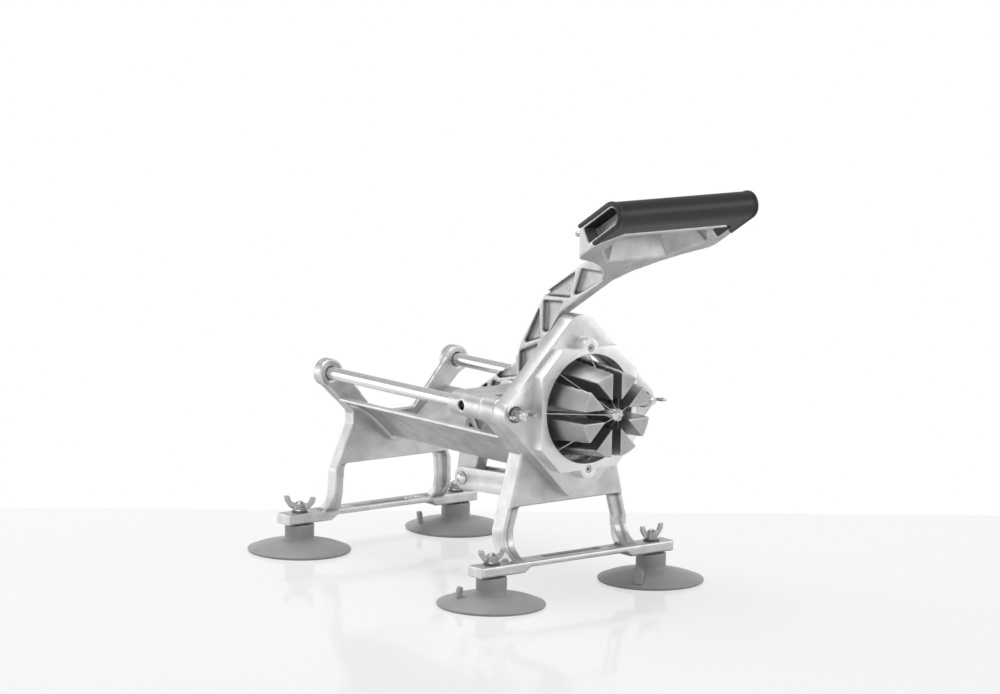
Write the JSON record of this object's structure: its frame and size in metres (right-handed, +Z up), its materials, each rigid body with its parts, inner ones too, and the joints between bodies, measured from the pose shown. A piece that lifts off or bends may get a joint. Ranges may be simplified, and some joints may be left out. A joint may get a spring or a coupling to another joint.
{
  "type": "lever fry cutter",
  "caption": "Lever operated potato cutter: a cast frame on suction cups, round guide rods, a wedge-fingered pusher carriage, a ribbed lever with a wide grip, links and a radial blade set.",
  "frame": {"origin": "Middle of the part's bounding box, on the floor plane under the suction cups", "axes": "+X to the right seen from the blade end, +Y from the blades to the rear frame along the guide rods, +Z up"},
  "size_m": [0.303, 0.519, 0.3982],
  "materials": {
    "cast_frame": "satin, fine cast grain",
    "cast_ring": "satin, fine cast grain",
    "cast_lever": "satin, fine cast grain",
    "rod_steel": "ground and polished",
    "blade_steel": "fine ground",
    "screw_steel": "bright machined",
    "zinc": "bright zinc plate",
    "bronze": "plain machined",
    "pusher_grey": "satin, slightly darker casting",
    "grip_black": "soft satin vinyl",
    "cup_rubber": "smooth satin"
  },
  "bodies": {
    "frame": {"front_frame": "cast_frame", "trough": "cast_frame", "rear_frame": "cast_frame", "guide_rod_left": "rod_steel", "guide_rod_right": "rod_steel", "rod_nuts": "zinc", "blade_holder": "cast_frame", "holder_washers": "zinc", "holder_wing_nuts": "zinc", "blade_ring": "cast_ring", "ring_screws": "screw_steel", "wedge_blades": "blade_steel", "hub_screw": "screw_steel", "link_front_bolt": "screw_steel", "link_front_nut": "zinc", "suction_cup_front_left": "cup_rubber", "suction_cup_front_right": "cup_rubber", "suction_cup_rear_left": "cup_rubber", "suction_cup_rear_right": "cup_rubber", "foot_studs": "zinc", "foot_washers": "zinc", "foot_wing_nuts": "zinc"},
    "carriage": {"carriage": "cast_frame", "slide_bushings": "bronze", "pusher_block": "pusher_grey", "pusher_screws": "screw_steel", "lever_pin": "rod_steel", "pin_ring": "zinc"},
    "lever": {"lever": "cast_lever", "grip_sleeve": "grip_black", "grip_screws": "screw_steel", "lever_bush": "bronze"},
    "links": {"link_left": "cast_lever", "link_right": "cast_lever", "link_rear_pins": "screw_steel"}
  },
  "joints": [
    {"name": "carriage_slide", "type": "slide", "parent": "frame", "child": "carriage", "axis": [0, 1, 0], "range_m": [0, 0.165]},
    {"name": "lever_hinge", "type": "hinge", "parent": "carriage", "child": "lever", "pos_m": [0, -0.0165, 0.1817], "axis": [1, 0, 0], "range_deg": [-87.3, 0]},
    {"name": "link_hinge", "type": "hinge", "parent": "frame", "child": "links", "pos_m": [0, -0.0705, 0.095], "axis": [1, 0, 0], "range_deg": [0, 6.4]}
  ],
  "couplings": [
    {"joint": "lever_hinge", "follows": "carriage_slide", "rad_per_m": -9.2309},
    {"joint": "link_hinge", "follows": "carriage_slide", "rad_per_m": 0.67203}
  ]
}
